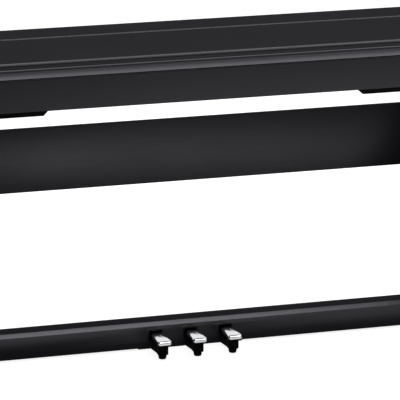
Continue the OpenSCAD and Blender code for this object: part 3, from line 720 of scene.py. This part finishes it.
def slot_ring(x, y, z, half_x, half_z, corner):
    """Points round a rectangle with rounded corners that faces the front."""
    points = []
    for quarter, (sx, sz) in enumerate(((1, 1), (-1, 1), (-1, -1), (1, -1))):
        for n in range(5):
            a = math.pi / 2 * (quarter + n / 4)
            points.append((x + sx * (half_x - corner) + corner * math.cos(a), y,
                           z + sz * (half_z - corner) + corner * math.sin(a)))
    return points


def slot_frame(side):
    """A thin black frame around a pedal's slot in the rail."""
    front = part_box("pedal_rail")[0].y
    slot_z0, slot_z1, half_x = 24 * mm, 49 * mm, 15.5 * mm
    x, z, half_z = middle("pedal_" + side).x, (slot_z0 + slot_z1) / 2, (slot_z1 - slot_z0) / 2
    proud, rim, inside = 0.9 * mm, 2.6 * mm, -13 * mm
    # each step is how far the frame reaches past the slot's edge, how far it stands out, and its corner
    steps = [(-0.6 * mm, inside, 3 * mm), (-0.6 * mm, 0.5 * proud, 3 * mm), (-0.2 * mm, proud, 3.4 * mm),
             (rim - 0.5 * mm, proud, 5.5 * mm), (rim, 0.5 * proud, 6 * mm), (rim, 0.0, 6 * mm),
             (0.0, 0.0, 3.6 * mm), (0.0, inside, 3.6 * mm)]
    rings = [slot_ring(x, front - out, z, half_x + grow, half_z + grow, corner)
             for grow, out, corner in steps]
    piece = joined("pedal_slot_frame_" + side, [skin(rings + [rings[0]], capped=False)], MATT)
    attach(piece, "cabinet")


for side in PEDALS:
    support(side)
rubber_pads()
pedal_coils()
for side in PEDALS:
    slot_frame(side)


# Floor and lights

def floor_look():
    """Pale paper: mostly its own even light, so that only a faint shadow shows."""
    look = Look("pale_floor", Roughness=0.9, Emission_Strength=0.88)
    look.colour(look.ramp(look.noise(0.6), [(0.3, (0.62, 0.62, 0.62)), (0.7, (0.64, 0.64, 0.64))]))
    look.shader.inputs["Specular IOR Level"].default_value = 0.0
    look.shader.inputs["Emission Color"].default_value = (1.0, 1.0, 1.0, 1.0)
    return look.material


def pale_room():
    """A floor and a dome of paper. Neither lights the object or is mirrored in it."""
    bm = bmesh.new()
    bmesh.ops.create_circle(bm, cap_ends=True, segments=64, radius=30.0)
    floor = object_from("pale_floor", bm, floor_look(), False)
    bm = bmesh.new()
    bmesh.ops.create_uvsphere(bm, u_segments=48, v_segments=24, radius=32.0)
    dome = object_from("pale_dome", bm, lamp_look("pale_dome", (1.0, 1.0, 1.0), 1.0))
    dome.visible_shadow = False
    for thing in (floor, dome):
        thing.visible_glossy = False
        thing.visible_diffuse = False


pale_room()


def soft_light(name, place, target, width, height, radiance, only=()):
    """A softbox of a given brightness. It isn't seen by the camera, and may light a few pieces only."""
    data = bpy.data.lights.new(name, "AREA")
    data.shape = "RECTANGLE"
    data.size, data.size_y = width, height
    data.energy = radiance * width * height * math.pi
    light = bpy.data.objects.new(name, data)
    light.location = place
    light.rotation_mode = "QUATERNION"
    light.rotation_quaternion = (Vector(target) - Vector(place)).to_track_quat("-Z", "Y")
    light.visible_camera = False
    bpy.context.scene.collection.objects.link(light)
    if only:
        lit = bpy.data.collections.new(name + "_lights")
        for piece in only:
            lit.objects.link(bpy.data.objects[piece])
        light.light_linking.receiver_collection = lit


# Each light's place, the point it faces, its width, height and radiance, and the only pieces it lights
COVERS = ["pedal_" + side + "_cover" for side in PEDALS]
LID = ["lid_panel_plank", "lid_lip_cove", "top_board_plank"]
soft_light("overhead_softbox", (0.7, 0.0, 4.0), (0.7, 0.0, 0.0), 6.0, 3.4, 2.9)
soft_light("low_front_card", (0.8, -2.1, 0.02), (0.8, -2.1, 1.0), 2.2, 2.4, 1.35)
soft_light("lid_front_card", (0.6, -2.6, 3.0), (0.2, -0.2, 0.75), 4.0, 1.0, 1.7, LID)
soft_light("backboard_card", (0.6, -1.15, 0.02), (0.6, -1.15, 1.0), 1.2, 1.1, 0.65, ["backboard_soft"])
soft_light("rail_front_card", (0.3, -0.7, 0.01), (0.3, -0.7, 1.0), 3.0, 1.2, 0.95, ["pedal_rail_soft"])
soft_light("rail_top_card", (0.7, -2.0, 3.0), (0.2, 0.0, 0.07), 3.6, 1.6, 5.3, ["pedal_rail_soft"] + COVERS)
soft_light("pedal_back_card", (0.03, -0.0145, 0.08), (0.03, -1.0, 0.08), 0.3, 0.044, 0.95, COVERS)
soft_light("pedal_floor_card", (0.1, -0.6, 0.01), (0.1, -0.6, 1.0), 1.2, 0.9, 0.7, COVERS)

world = bpy.data.worlds.new("studio")
world.use_nodes = True
background = world.node_tree.nodes["Background"]
background.inputs["Color"].default_value = (0.9, 0.93, 1.0, 1.0)
background.inputs["Strength"].default_value = 0.05
bpy.context.scene.world = world
bpy.context.scene.view_settings.view_transform = "Standard"
